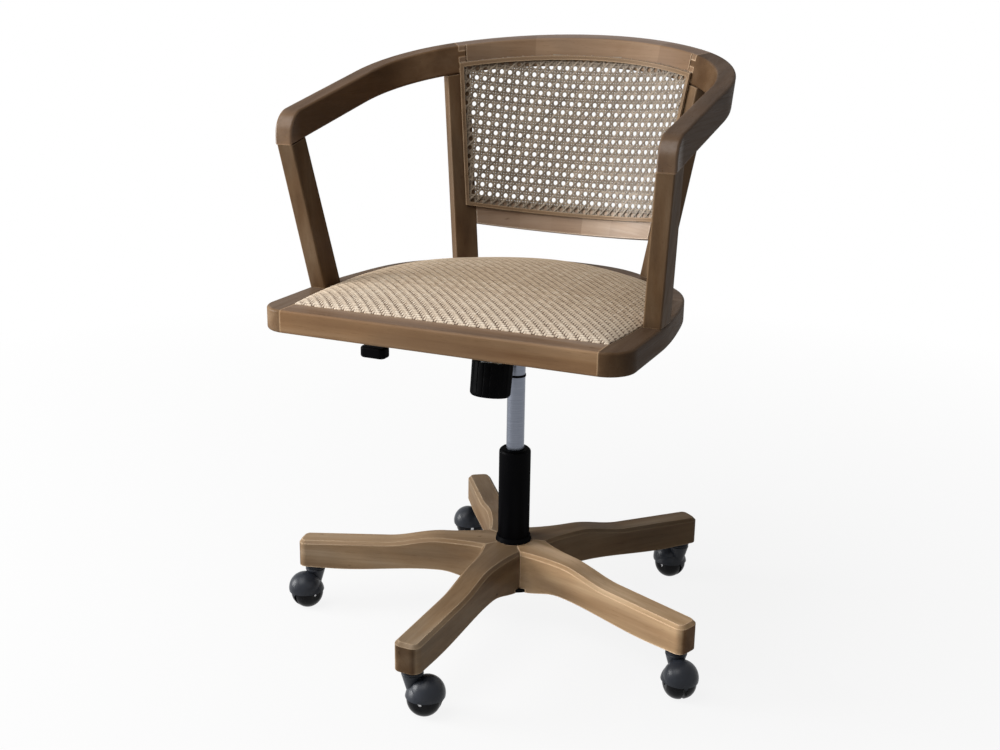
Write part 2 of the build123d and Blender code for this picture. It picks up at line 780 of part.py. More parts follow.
bow_low = bow_foot(arm_front) - spare
bow_high = bow_top(seat_back + 2 * spare) + spare
bow_slab = side_slab(arm_front - spare, seat_back + 3 * spare, bow_foot, bow_top)
crest_rail = loft([crest_face(bow_low), crest_face(bow_high)], ruled=True) & bow_slab
arm = loft([arm_face(bow_low), arm_face(bow_high)], ruled=True) & bow_slab
nose = [
    edge for edge in arm.edges()
    if edge.center().Y < arm_front + bow_edge and edge.center().Z > bow_top(arm_front) - bow_edge
]
arm = fillet(nose, arm_nose)
arm_long = [
    edge for edge in arm.edges()
    if edge.length > arm_nose and abs(edge.center().Z - bow_top(edge.center().Y)) < bow_thickness
    and edge.center().Y > arm_front + bow_edge
]
arm = fillet(arm_long, bow_edge)
crest_long = [edge for edge in crest_rail.edges() if edge.length > 2 * bow_thickness]
crest_rail = fillet(crest_long, bow_edge)

# Finger joints: alternate layers of the bow run on from the crest into each arm
layer = bow_thickness / finger_count
finger_angle = crest_half_angle + degrees(finger_length / back_radius(bow_foot(seat_back)))
finger_zone = arm & wedge(finger_angle)
fingers = []
for level in range(0, finger_count, 2):
    low = level * layer
    fingers.append(finger_zone & side_slab(
        back_axis_y, seat_back + 2 * spare, lambda y: bow_foot(y) + low, lambda y: bow_foot(y) + low + layer))
for finger in fingers:
    arm -= finger
    crest_rail += finger
    crest_rail += mirrored(finger)
for place, rise in ((front_dowel_place, front_rise), (back_dowel_place, post_rise)):
    arm -= post_dowel(place, rise, fit_gap)
    crest_rail -= post_dowel(place, rise, fit_gap)
    crest_rail -= mirrored(post_dowel(place, rise, fit_gap))
save("crest_rail", crest_rail)
save("arm_left", arm)
save("arm_right", mirrored(arm))

# Lower back rail, cane panel and the bead that holds the cane round its edge
rail_slab = side_slab(back_axis_y, seat_back + 2 * spare, rail_foot, rail_top)
post_cutter = post_prism(post_depth + 2 * spare, post_width, inset=spare)
rail = (cone(rail_depth) - cone(0)) & rail_slab & wedge(post_angle)
rail = rail - post_cutter - mirrored(post_cutter)
save("lower_back_rail", rail)


def cane_zone(margin):
    """Region inside the cane's outline, drawn in by a margin."""
    slab = side_slab(
        back_axis_y, seat_back + 2 * spare,
        lambda y: rail_top(y) - cane_rail_lap + margin, lambda y: bow_foot(y) + cane_crest_lap - margin)
    middle = back_radius((rail_top(seat_back) + bow_foot(seat_back)) / 2)
    return slab & wedge(cane_angle - degrees(margin / middle))


def cane_row(row):
    """Line at a share of the rows of openings, counted up from the lower rail to the bow."""
    return lambda y: rail_top(y) + (bow_foot(y) - rail_top(y)) * row / opening_rows


cane = (cone(-cane_gap) - cone(-cane_gap - cane_thickness)) & cane_zone(0)
bar = (1 - opening_share) / 2
for column in range(opening_pairs):
    angles = [opening_angle * share / opening_pairs for share in (column + bar, column + 1 - bar)]
    strip = wedge(angles[1]) - wedge(angles[0])
    for row in range(opening_rows):
        cane -= strip & side_slab(back_axis_y, seat_back + 2 * spare, cane_row(row + bar), cane_row(row + 1 - bar))
save("cane_panel", cane)
bead_back = cane_gap + cane_thickness + cane_gap
bead = (cone(-bead_back) - cone(-bead_back - bead_thickness)) & cane_zone(0)
bead -= cane_zone(bead_width)
save("cane_bead", bead)

# Seat frame: one outline cut into front, side and back rails round the pocket for the pad
def seat_outline():
    corner_side = (seat_half_width, seat_front + seat_corner)
    corner_front = (seat_half_width - seat_corner, seat_front)
    side_end = (seat_half_width, seat_straight_end)
    rear_depth = seat_back - seat_straight_end
    points = [(seat_half_width * x, seat_straight_end + rear_depth * y) for x, y in seat_hips]
    half = [
        Line((0, seat_front), corner_front),
        RadiusArc(corner_front, corner_side, -seat_corner),
        Line(corner_side, side_end),
        Spline(side_end, *points, (0, seat_back), tangents=((0, 1), (-1, 0))),
    ]
    return make_face(half + [mirror(edge, Plane.YZ) for edge in half])


def pad_outline(grow=0.0):
    """Outline of the pad's pocket, let out all round by an amount."""
    front = pad_front - grow
    depth = pad_back - pad_front + 2 * grow
    half_width = pad_half_width + grow
    points = [(half_width * x, front + depth * y) for x, y in pad_hips]
    corner = (pad_corner_half_width + grow, front)
    half = [Line((0, front), corner), Spline(corner, *points, (0, front + depth), tangents=((pad_flare, 1), (-1, 0)))]
    return make_face(half + [mirror(edge, Plane.YZ) for edge in half])


board_top = seat_foot + board_thickness
frame_blank = extrude(Pos(0, 0, seat_foot) * seat_outline(), seat_thickness)
rims = frame_blank.edges().group_by(Axis.Z)
frame = fillet(rims[0] + rims[-1], seat_edge_round)
frame -= extrude(Pos(0, 0, seat_foot) * pad_outline(), far)
frame -= extrude(Pos(0, 0, seat_foot) * pad_outline(board_rebate), board_thickness)
frame -= post_blank
frame -= mirrored(post_blank)
for bolt in half_bolts:
    frame -= bolt
    frame -= mirrored(bolt)

front_dowel_y = (seat_front + pad_front) / 2
frame_dowel_half = dowel_length / 2
dowel_spots = [(front_seam, front_dowel_y + side * frame_dowel_spacing / 2) for side in (-1, 1)]
dowel_z = board_top + (seat_thickness - board_thickness) / 2


def frame_dowel(x, y, grow=0.0):
    half = frame_dowel_half + grow
    return rod((x - half, y, dowel_z), (x + half, y, dowel_z), frame_dowel_radius + grow)


for spot in dowel_spots:
    frame -= frame_dowel(*spot, grow=fit_gap)
    frame -= mirrored(frame_dowel(*spot, grow=fit_gap))
half_dowels += [frame_dowel(*spot) for spot in dowel_spots]
save("wood_dowels", *half_dowels, *[mirrored(dowel) for dowel in half_dowels])
front_zone = block(-front_seam, front_seam, -far, pad_front + spare, 0, far)
save("seat_front_rail", frame & front_zone)
side_rail = (frame & block(0, far, -far, back_seam, 0, far)) - front_zone
save("seat_side_rail_left", side_rail)
save("seat_side_rail_right", mirrored(side_rail))
save("seat_back_rail", frame & block(-far, far, back_seam, far, 0, far))

# Seat board in the rebate, and the crowned pad with its woven cover
board = extrude(Pos(0, 0, seat_foot) * pad_outline(board_rebate - fit_gap), board_thickness)
for place in screw_places:
    board -= plate_screw(*place, grow=fit_gap / 2)
head_pocket = bolt_head_radius + 2 * seat_gap
pocket_depth = head_rise + bolt_head_flat + seat_gap
board -= Pos(0, bolt_y(head_z), seat_foot) * Cylinder(
    head_pocket, pocket_depth, align=(Align.CENTER, Align.CENTER, Align.MIN))
save("seat_board", board)


def crowned(gap, lift):
    """Pad drawn in at its foot and rising in a crown from the frame's edge."""
    centre = Pos(0, pad_centre_y, 0)
    flat = Pos(0, -pad_centre_y, 0) * pad_outline(-gap)
    brim = seat_top - cover_thickness + lift
    levels = [(pad_foot_share, board_top + seat_gap)]
    levels += [(share, brim + rise * pad_crown) for share, rise in pad_rise]
    return loft([centre * Pos(0, 0, z) * scale(flat, by=share) for share, z in levels], ruled=True)


foam = crowned(pad_gap + cover_thickness + seat_gap, 0)
save("seat_foam", foam)
cover = crowned(pad_gap, cover_thickness) - crowned(pad_gap + cover_thickness, seat_gap)
save("woven_seat", cover)

# Casters: socket in the leg, stem and axle, hooded body and a pair of wheels
wheel_start = caster_web / 2 + wheel_side_gap
tread_centre = (wheel_radius ** 2 - wheel_cap_radius ** 2 - wheel_width ** 2) / 2 / (wheel_radius - wheel_cap_radius)
ball_radius = hypot(tread_centre, wheel_start) + wheel_radius - tread_centre
ball_gap_radius = ball_radius + hood_gap
hood_radius = ball_gap_radius + hood_wall
neck_top = caster_height - socket_flange - seat_gap


def socket():
    top = caster_height + stem_in_leg + seat_gap
    bore = stem_radius + running_gap
    return turned([
        (bore, caster_height - socket_flange), (socket_flange_radius, caster_height - socket_flange),
        (socket_flange_radius, caster_height), (bore + socket_wall, caster_height),
        (bore + socket_wall, top), (bore, top),
    ])


def hood():
    """Dome over the wheels, running up into a neck round the stem, with a web that holds the axle."""
    ball = Pos(caster_trail, 0, wheel_radius)
    groove_radius = neck_radius - neck_groove
    neck = [(0, hood_waist_height), (hood_waist_radius, hood_waist_height), (neck_radius, neck_top - neck_height)]
    for ring in (0, 1):
        low = neck_top - neck_height + (4 * ring + 1) * neck_groove
        neck += [(neck_radius, low), (groove_radius, low + neck_groove), (groove_radius, low + 2 * neck_groove)]
        neck += [(neck_radius, low + 3 * neck_groove)]
    body = turned(neck + [(neck_radius, neck_top), (0, neck_top)])
    body += ball * Pos(hood_dome_back, 0, hood_dome_rise) * Sphere(hood_dome_radius)
    body += ball * Sphere(hood_radius)
    body -= ball * Sphere(ball_gap_radius)
    body -= ball * Pos(0, 0, hood_rim_rise - far / 2) * Box(far, far, far)
    web = ball * Rot(90, 0, 0) * Cylinder(ball_gap_radius + hood_wall / 2, caster_web)
    web -= ball * Pos(0, 0, -far / 2) * Box(far, far, far)
    body += web + ball * Rot(90, 0, 0) * Cylinder(axle_boss_radius, caster_web)
    body -= Pos(0, 0, neck_top - stem_in_neck + far / 2) * Cylinder(stem_radius + fit_gap, far)
    return body - ball * Rot(90, 0, 0) * Cylinder(axle_radius + fit_gap, far)


def wheel():
    """Half-ball wheel whose tread touches the floor at its inner edge."""
    bore = axle_radius + running_gap
    cap = (wheel_cap_radius, 0, wheel_start + wheel_width)
    tread = TangentArc((wheel_radius, 0, wheel_start), cap, tangent=(0, 0, 1))
    rest = Polyline(cap, (bore, 0, cap[2]), (bore, 0, wheel_start), (wheel_radius, 0, wheel_start))
    return revolve(make_face([tread, rest]), Axis.Z)


hood_solid = hood()
stem = Pos(0, 0, (neck_top - stem_in_neck + caster_height + stem_in_leg) / 2 + fit_gap) * Cylinder(
    stem_radius, stem_in_neck + caster_height + stem_in_leg - neck_top - 2 * fit_gap)
axle_half = wheel_start + wheel_width - hood_wall
axle = Pos(caster_trail, 0, wheel_radius) * Rot(90, 0, 0) * Cylinder(axle_radius, 2 * axle_half)
one_wheel = wheel()
wheels = [Pos(caster_trail, 0, wheel_radius) * Rot(turn, 0, 0) * one_wheel for turn in (90, -90)]
sockets = []
for number, (leg_angle, caster_angle) in enumerate(zip(leg_angles, caster_angles), 1):
    stem_place = Rot(0, 0, leg_angle) * Pos(leg_reach - leg_tip_overhang, 0, 0)
    place = stem_place * Rot(0, 0, caster_angle - leg_angle)
    sockets.append(stem_place * socket())
    save(f"caster_{number}_hood", place * hood_solid)
    save(f"caster_{number}_stem_and_axle", place * stem, place * axle)
    save(f"caster_{number}_wheels", *[place * solid for solid in wheels])
save("caster_sockets", *sockets)
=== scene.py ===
import bmesh
import bpy
import numpy as np
from mathutils import Matrix


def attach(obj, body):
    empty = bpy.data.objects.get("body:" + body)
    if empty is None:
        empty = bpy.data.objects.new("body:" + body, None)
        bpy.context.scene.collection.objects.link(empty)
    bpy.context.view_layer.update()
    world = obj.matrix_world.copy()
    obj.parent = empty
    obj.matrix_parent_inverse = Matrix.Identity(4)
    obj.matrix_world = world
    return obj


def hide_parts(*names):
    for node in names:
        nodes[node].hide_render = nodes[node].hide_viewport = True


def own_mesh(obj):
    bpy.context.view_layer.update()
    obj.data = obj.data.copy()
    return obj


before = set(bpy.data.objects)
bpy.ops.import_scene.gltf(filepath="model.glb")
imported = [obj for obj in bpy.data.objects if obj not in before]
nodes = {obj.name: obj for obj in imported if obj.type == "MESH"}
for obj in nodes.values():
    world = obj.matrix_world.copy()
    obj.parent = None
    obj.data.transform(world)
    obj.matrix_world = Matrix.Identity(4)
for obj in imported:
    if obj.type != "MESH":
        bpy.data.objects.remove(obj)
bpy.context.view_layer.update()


# Casters: moulded glossy black nylon, hooded over twin half-ball wheels.
# The hood is one moulding with the neck; the wheels are the same nylon, a little scuffed
# where they roll. Each turns on a steel stem pushed into a sleeve in the leg.
class Finish:
    """A material and its node tree, with short calls to add and join nodes."""

    def __init__(self, name):
        self.material = bpy.data.materials.new(name)
        self.material.use_nodes = True
        self.tree = self.material.node_tree
        self.shader = self.tree.nodes["Principled BSDF"]
        where = self.tree.nodes.new("ShaderNodeTexCoord")
        self.place = where.outputs["Object"]
        self.facing = where.outputs["Normal"]

    def join(self, source, socket):
        if isinstance(source, bpy.types.NodeSocket):
            self.tree.links.new(source, socket)
        else:
            socket.default_value = source

    def add(self, kind, inputs=(), **settings):
        node = self.tree.nodes.new("ShaderNode" + kind)
        for key, value in settings.items():
            setattr(node, key, value)
        for key, source in dict(inputs).items():
            self.join(source, node.inputs[key])
        return node

    def math(self, operation, *sources):
        return self.add("Math", enumerate(sources), operation=operation).outputs[0]

    def mapped(self, vector, scale=(1, 1, 1), rotation=(0, 0, 0), location=(0, 0, 0)):
        inputs = {"Vector": vector, "Scale": scale, "Rotation": rotation, "Location": location}
        return self.add("Mapping", inputs).outputs[0]

    def noise(self, vector, scale, detail=2.0, roughness=0.5, distortion=0.0):
        inputs = {"Vector": vector, "Scale": scale, "Detail": detail, "Roughness": roughness,
                  "Distortion": distortion}
        return self.add("TexNoise", inputs).outputs["Fac"]

    def spread(self, value, low, high, to_low=0.0, to_high=1.0):
        inputs = {"Value": value, "From Min": low, "From Max": high, "To Min": to_low, "To Max": to_high}
        return self.add("MapRange", inputs).outputs[0]

    def ramp(self, value, *stops):
        node = self.add("ValToRGB", {"Fac": value})
        points = node.color_ramp.elements
        while len(points) < len(stops):
            points.new(0.5)
        for point, (position, colour) in zip(points, stops):
            point.position = position
            point.color = (*colour, 1.0)
        return node.outputs["Color"]

    def mix(self, share, first, second, blend="MIX"):
        node = self.add("Mix", data_type="RGBA", blend_type=blend)
        self.join(share, node.inputs[0])
        self.join(first if isinstance(first, bpy.types.NodeSocket) else (*first, 1.0), node.inputs[6])
        self.join(second if isinstance(second, bpy.types.NodeSocket) else (*second, 1.0), node.inputs[7])
        return node.outputs[2]

    def stain(self, colour, value, low, high, share, tone):
        """Colour multiplied by a tone as a value goes from low to high, up to a share of it."""
        return self.mix(self.spread(value, low, high, 0.0, share), colour, tone, "MULTIPLY")

    def set(self, **sockets):
        for key, source in sockets.items():
            self.join(source, self.shader.inputs[key.replace("_", " ")])

    def bump(self, height, strength, distance):
        node = self.add("Bump", {"Height": height, "Strength": strength, "Distance": distance})
        self.join(node.outputs[0], self.shader.inputs["Normal"])

    def edges(self, radius):
        """Share of edge wear and painted edge highlight: 1 where the shape turns within a radius, 0 on flat
        faces.
        """
        rounded = self.add("Bevel", {"Radius": radius}, samples=4).outputs[0]
        straight = self.add("NewGeometry").outputs["Normal"]
        agree = self.add("VectorMath", {0: rounded, 1: straight}, operation="DOT_PRODUCT").outputs["Value"]
        return self.spread(agree, 0.86, 0.99, 1.0, 0.0)

    def onto(self, *names):
        for name in names:
            slots = nodes[name].data.materials
            slots.clear()
            slots.append(self.material)


wheel_nylon = Finish("wheel_nylon")
rolled = wheel_nylon.noise(wheel_nylon.place, 220.0, 4.0, 0.65)
wheel_nylon.set(
    Base_Color=wheel_nylon.ramp(rolled, (0.35, (0.003, 0.003, 0.004)), (0.75, (0.010, 0.010, 0.012))),
    Roughness=wheel_nylon.spread(rolled, 0.35, 0.75, 0.12, 0.3), Specular_IOR_Level=0.10)
caster_nylon = Finish("caster_nylon")
scuff = caster_nylon.noise(caster_nylon.place, 160.0, 5.0, 0.7)
bloom = caster_nylon.noise(caster_nylon.place, 30.0, 3.0)
# The hood's nylon is given a paler, bluer black than the wheels', partly as a painted reflection of the pale
# surround.
caster_nylon.set(
    Base_Color=caster_nylon.ramp(bloom, (0.3, (0.012, 0.014, 0.019)), (0.75, (0.030, 0.034, 0.043))),
    Roughness=caster_nylon.spread(scuff, 0.35, 0.75, 0.28, 0.48), Specular_IOR_Level=0.20)
caster_nylon.bump(scuff, 0.08, 0.0004)
caster_steel = Finish("caster_steel")
turning = caster_steel.noise(caster_steel.mapped(caster_steel.place, (20, 20, 900)), 3.0, 2.0)
caster_steel.set(Base_Color=(0.46, 0.46, 0.47, 1.0), Metallic=1.0,
                 Roughness=caster_steel.spread(turning, 0.3, 0.7, 0.25, 0.45))
for number in range(1, 6):
    caster_nylon.onto(f"caster_{number}_hood")
    wheel_nylon.onto(f"caster_{number}_wheels")
    caster_steel.onto(f"caster_{number}_stem_and_axle")


# Legs: five bandsawn hardwood arms, stained tan and oiled, butted together round the hub.
# The grain runs out along each leg; handling marks and dark pores gather near the tips.
def plain_grain(finish, rotation, shift):
    """Vector whose first axis runs along the grain: the object's own place turned and shifted."""
    return finish.mapped(finish.place, rotation=rotation, location=shift)


def bent_grain(finish, centre_y, mean_radius, shift):
    """Grain that follows an arc about an upright axis: (angle x mean radius, radius, height)."""
    part = finish.add("SeparateXYZ", {"Vector": finish.place})
    x, z = part.outputs[0], part.outputs[2]
    y = finish.math("SUBTRACT", part.outputs[1], centre_y)
    along = finish.math("MULTIPLY", finish.math("ARCTAN2", x, y), mean_radius)
    squares = finish.math("ADD", finish.math("MULTIPLY", x, x), finish.math("MULTIPLY", y, y))
    radius = finish.math("SQRT", squares)
    joined = finish.add("CombineXYZ", {"X": along, "Y": radius, "Z": z}).outputs[0]
    return finish.mapped(joined, location=shift)


# Edges are painted paler: partly real wear, partly a painted highlight where the rounded edges catch the light.
edge_wear_and_highlight_radius = 0.003
edge_wear_and_highlight_paleness = 1.6
plain_oil = 0.16
hand_polish = 1.0


def toned(tones, factor):
    """Stain tones of a piece, all darker or lighter by a factor."""
    return [tuple(np.array(tone) * factor) for tone in tones]


def stained_wood(name, grain, dark, middle, light, gloss=(0.24, 0.42), marks=0.5, end_axis=None, staves=None,
                 polished=None, top_sheen=1.0):
    """Stained hardwood: broad bands and fine streaks stretched along the grain's first axis,
    short dark pores, and clouds of uneven stain that ignore the grain. Faces square to the end axis
    are end grain, which takes the stain darker. Faces turned up get a painted sheen, paler and bluer,
    as much as the sheen share given. Edges are painted paler, partly as wear and partly as a painted
    highlight. With staves, a length and a first number, the piece is glued up from blocks of unlike
    wood along the grain. Between two places on the y axis the piece goes from plain to polished by hands."""
    wood = Finish(name)
    vector = grain(wood)
    bands = wood.noise(wood.mapped(vector, (2.2, 30, 30)), 1.0, 3.0, 0.5, 0.25)
    streaks = wood.noise(wood.mapped(vector, (7, 300, 300)), 1.0, 3.0, 0.6)
    pores = wood.noise(wood.mapped(vector, (55, 900, 900)), 1.0, 2.0, 0.6)
    cloud = wood.noise(vector, 9.0, 3.0, 0.55, 0.4)
    spots = wood.noise(wood.mapped(vector, (38, 95, 95)), 1.0, 2.0, 0.5)
    colour = wood.ramp(bands, (0.22, dark), (0.50, middle), (0.80, light))
    colour = wood.stain(colour, streaks, 0.35, 0.72, 0.30, (0.62, 0.56, 0.50))
    colour = wood.stain(colour, pores, 0.62, 0.74, 0.40, (0.42, 0.36, 0.30))
    colour = wood.stain(colour, cloud, 0.40, 0.74, 0.45, (0.72, 0.64, 0.56))
    colour = wood.stain(colour, spots, 0.72, 0.80, marks, (0.35, 0.28, 0.22))
    patch = wood.noise(wood.mapped(vector, (5, 17, 17)), 1.0, 2.0, 0.5, 0.5)
    colour = wood.stain(colour, patch, 0.42, 0.66, 0.55, (0.70, 0.76, 0.86))
    # Painted sheen: faces turned up are made paler and bluer, as the light from above would glance off them.
    upward = wood.add("SeparateXYZ", {"Vector": wood.facing}).outputs[2]
    colour = wood.stain(colour, upward, 0.75, 0.97, top_sheen, (0.92, 1.02, 1.28))
    if staves:
        length, first = staves
        along = wood.add("SeparateXYZ", {"Vector": vector}).outputs[0]
        block = wood.math("ADD", wood.math("FLOOR", wood.math("DIVIDE", along, length)), first)
        tone = wood.add("TexWhiteNoise", {"W": block}, noise_dimensions="1D").outputs["Value"]
        colour = wood.stain(colour, tone, 0.0, 1.0, 0.75, (0.50, 0.43, 0.38))
    # Painted highlight and wear: edges are mixed towards a paler tone.
    worn_and_lit_edge = wood.math("MULTIPLY", wood.edges(edge_wear_and_highlight_radius), wood.spread(cloud, 0.3, 0.6, 0.45, 0.95))
    colour = wood.mix(worn_and_lit_edge, colour, toned((light,), edge_wear_and_highlight_paleness)[0])
    if end_axis is not None:
        facing = wood.add("VectorMath", {0: wood.facing, 1: end_axis}, operation="DOT_PRODUCT")
        square_on = wood.math("ABSOLUTE", facing.outputs["Value"])
        colour = wood.stain(colour, square_on, 0.7, 0.9, 0.92, (0.30, 0.24, 0.19))
    oil = plain_oil
    if polished:
        along_y_axis = wood.add("SeparateXYZ", {"Vector": wood.place}).outputs[1]
        oil = wood.spread(along_y_axis, *polished, plain_oil, hand_polish)
    wood.set(Base_Color=colour, Roughness=0.8, Specular_IOR_Level=0.0, Coat_Weight=oil,
             Coat_Roughness=wood.spread(streaks, 0.3, 0.7, *gloss))
    relief = wood.math("ADD", wood.math("MULTIPLY", streaks, 0.6), wood.math("MULTIPLY", pores, -0.5))
    wood.bump(relief, 0.16, 0.0006)
    return wood


leg_tones = ((0.180, 0.108, 0.056), (0.285, 0.193, 0.112), (0.415, 0.315, 0.212))
# Each leg's tones are scaled as painted light and shade: the third leg, in strong light, is painted far paler,
# and the others lighter or darker by how the light falls on them.
leg_light_and_shade = (1.10, 0.90, 2.05, 0.95, 0.85)
first_leg_angle = 196.1
leg_step = 72.0
for number, factor in enumerate(leg_light_and_shade, 1):
    leg_angle = np.radians(first_leg_angle + leg_step * (number - 1))
    shift = (0.3 * number, 0.17 * number, 0)
    leg_wood = stained_wood(
        f"leg_wood_{number}", lambda wood: plain_grain(wood, (0, 0, -leg_angle), shift),
        *toned(leg_tones, factor), marks=0.75, top_sheen=0.0,
        end_axis=(np.cos(leg_angle), np.sin(leg_angle), 0.0))
    leg_wood.onto(f"leg_{number}")


# Hub, column and lift: black powder-coated tube in a steel hub, with a moulded collar at its
# foot and a nylon bush in its mouth. The ground steel gas cylinder slides in the bush. The tilt's
# spring stands on the knob and is squeezed against the housing as the seat leans back.
powder_coat = Finish("black_powder_coat")
orange_peel = powder_coat.noise(powder_coat.place, 900.0, 2.0)
handling = powder_coat.noise(powder_coat.mapped(powder_coat.place, (30, 30, 6)), 1.0, 3.0)
powder_coat.set(
    Base_Color=powder_coat.ramp(handling, (0.35, (0.0010, 0.0010, 0.0015)), (0.75, (0.0025, 0.0025, 0.003))),
    Roughness=0.8, Specular_IOR_Level=0.0, Coat_Weight=0.06,
    Coat_Roughness=powder_coat.spread(handling, 0.3, 0.7, 0.34, 0.5))
powder_coat.bump(orange_peel, 0.1, 0.0002)
powder_coat.onto("base_hub", "column_tube", "mechanism_housing", "seat_plate", "height_lever")
ground_steel = Finish("ground_steel")
grinding = ground_steel.noise(ground_steel.mapped(ground_steel.place, (40, 40, 1600)), 1.0, 2.0)
ground_steel.set(
    Base_Color=ground_steel.ramp(grinding, (0.3, (0.15, 0.165, 0.20)), (0.7, (0.20, 0.215, 0.255))),
    Metallic=1.0, Roughness=ground_steel.spread(grinding, 0.3, 0.7, 0.28, 0.42))
ground_steel.onto("gas_cylinder")
zinc_plate = Finish("zinc_plate")
crystal = zinc_plate.noise(zinc_plate.place, 500.0, 3.0)
zinc_plate.set(
    Base_Color=zinc_plate.ramp(crystal, (0.3, (0.48, 0.48, 0.47)), (0.7, (0.62, 0.62, 0.60))),
    Metallic=1.0, Roughness=zinc_plate.spread(crystal, 0.3, 0.7, 0.3, 0.45))
zinc_plate.onto("piston_rod", "retaining_clip", "thrust_bearing", "release_pin", "pivot_pins", "tension_bolt",
                "tilt_spring", "seat_plate_screws", "post_bolts", "leg_bolts")
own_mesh(nodes["tilt_spring"])


# Knob, lever grip and plain plastic trim: matt black mouldings with a fine spark-eroded skin.
# The knob's flutes are in its shape; its handled crests are a little smoother and greyer.
moulded_black = Finish("moulded_black")
skin = moulded_black.noise(moulded_black.place, 1400.0, 2.0)
wear = moulded_black.noise(moulded_black.place, 60.0, 4.0)
moulded_black.set(
    Base_Color=moulded_black.ramp(wear, (0.35, (0.0010, 0.0010, 0.0015)), (0.75, (0.0025, 0.0025, 0.003))),
    Roughness=0.8, Specular_IOR_Level=0.0, Coat_Weight=0.06,
    Coat_Roughness=moulded_black.spread(wear, 0.3, 0.7, 0.55, 0.4))
moulded_black.bump(skin, 0.15, 0.0002)
moulded_black.onto("tension_knob", "lever_paddle", "column_collar", "guide_bush", "cylinder_ring",
                   "caster_sockets")


# Seat frame: four stained rails, the sides butted behind the front rail and dowelled to it,
# with a round edge all round. A plywood board lies in a rebate under the pad.
frame_tones = ((0.140, 0.073, 0.035), (0.226, 0.133, 0.068), (0.345, 0.232, 0.138))
along_x = (0, 0, 0)
along_y = (0, 0, -np.pi / 2)
along_z = (0, np.pi / 2, 0)
# The factors set each rail's tone; the right side rail's is lowered partly as painted shade, for the shadow on
# its outer side.
for name, rotation, shift, factor in (
        ("seat_front_rail", along_x, (0.1, 0.0, 0.0), 1.15),
        ("seat_back_rail", along_x, (1.3, 0.4, 0.0), 0.6),
        ("seat_side_rail_left", along_y, (2.1, 0.7, 0.2), 0.55),
        ("seat_side_rail_right", along_y, (3.7, 0.9, 0.1), 0.68)):
    rail_wood = stained_wood(name + "_wood", lambda wood: plain_grain(wood, rotation, shift),
                             *toned(frame_tones, factor))
    rail_wood.onto(name)
plywood = stained_wood("birch_plywood", lambda wood: plain_grain(wood, along_x, (0, 0, 0)),
                       (0.42, 0.30, 0.17), (0.50, 0.37, 0.22), (0.58, 0.45, 0.28),
                       gloss=(0.6, 0.75), marks=0.2)
plywood.onto("seat_board", "wood_dowels")


# Seat pad: a crowned foam pad under a close twill of beige paper cord, drawn down into the
# frame all round. Every cord crosses two and passes under two, stepping one along each row.
pad_centre = -0.038
pad_front = -0.2534
pad_depth = 0.4308
pad_half_width = 0.2449
pad_corner_half_width = 0.2354
pad_brim = 0.5535
pad_crown = 0.0268
pad_deepest = 0.090
pad_crown_power = 0.75
pad_foot = 0.0195
pad_foot_draw = 0.10
pad_flare = (0.12, 1.0)
pad_hips = ((1.0, 0.31), (0.978, 0.53), (0.835, 0.755), (0.57, 0.885), (0.0, 1.0))
weave_half_width = 0.27
weave_half_depth = 0.245
cloth_half_depth = 0.24
cloth_foot = 0.004
cloth_frames = 20
cord_pitch = 0.0040
cord_relief = 0.0010
cord_level = 0.75
cord_fade = 0.004


def fair_curve(points, first_run, last_run, samples=120):
    """Cubic spline through points with given runs at its ends, smooth in slope and bend, whose
    parameter is the length of the chords."""
    points = np.array(points, float)
    chord = np.linalg.norm(np.diff(points, axis=0), axis=1)
    slope = np.diff(points, axis=0) / chord[:, None]
    count = len(points)
    system, wanted = np.eye(count), np.zeros((count, 2))
    wanted[0] = np.array(first_run) / np.hypot(*first_run)
    wanted[-1] = np.array(last_run) / np.hypot(*last_run)
    inner = np.arange(1, count - 1)
    system[inner, inner - 1] = chord[1:]
    system[inner, inner] = 2 * (chord[:-1] + chord[1:])
    system[inner, inner + 1] = chord[:-1]
    wanted[inner] = 3 * (chord[1:, None] * slope[:-1] + chord[:-1, None] * slope[1:])
    run = np.linalg.solve(system, wanted)
    t = np.linspace(0.0, 1.0, samples)[None, :, None]
    h = chord[:, None, None]
    a, b = points[:-1, None, :], points[1:, None, :]
    curve = (a * (2 * t ** 3 - 3 * t ** 2 + 1) + run[:-1, None, :] * h * (t ** 3 - 2 * t ** 2 + t)
             + b * (3 * t ** 2 - 2 * t ** 3) + run[1:, None, :] * h * (t ** 3 - t ** 2))
    return curve.reshape(-1, 2)


def pad_rim(angle, egg=False):
    """Distance from the pad's centre to its rim by angle: a straight front edge, then a fair curve
    from the front corner round the hips to the middle of the back, mirrored left to right. As an
    egg, the sides run on past the front edge and close in a round end."""
    front = pad_front - pad_centre
    hips = np.array(pad_hips) * (pad_half_width, pad_depth) + (0.0, front)
    side = fair_curve(np.vstack(((pad_corner_half_width, front), hips)), pad_flare, (-1.0, 0.0))
    edge = np.stack((np.linspace(0.0, pad_corner_half_width, 80)[:-1], np.full(79, front)), 1)
    if egg:
        edge = fair_curve(((0.0, 1.9 * front), (0.7 * pad_corner_half_width, 1.6 * front),
                           (pad_corner_half_width, front)), (1.0, 0.0), pad_flare)[:-1]
    points = np.concatenate((edge, side))
    around = np.arctan2(points[:, 1], points[:, 0])
    away = np.hypot(points[:, 0], points[:, 1])
    order = np.argsort(around)
    folded = np.where(np.cos(angle) >= 0, angle, np.arctan2(np.sin(angle), -np.cos(angle)))
    return np.interp(np.arctan2(np.sin(folded), np.cos(folded)), around[order], away[order])


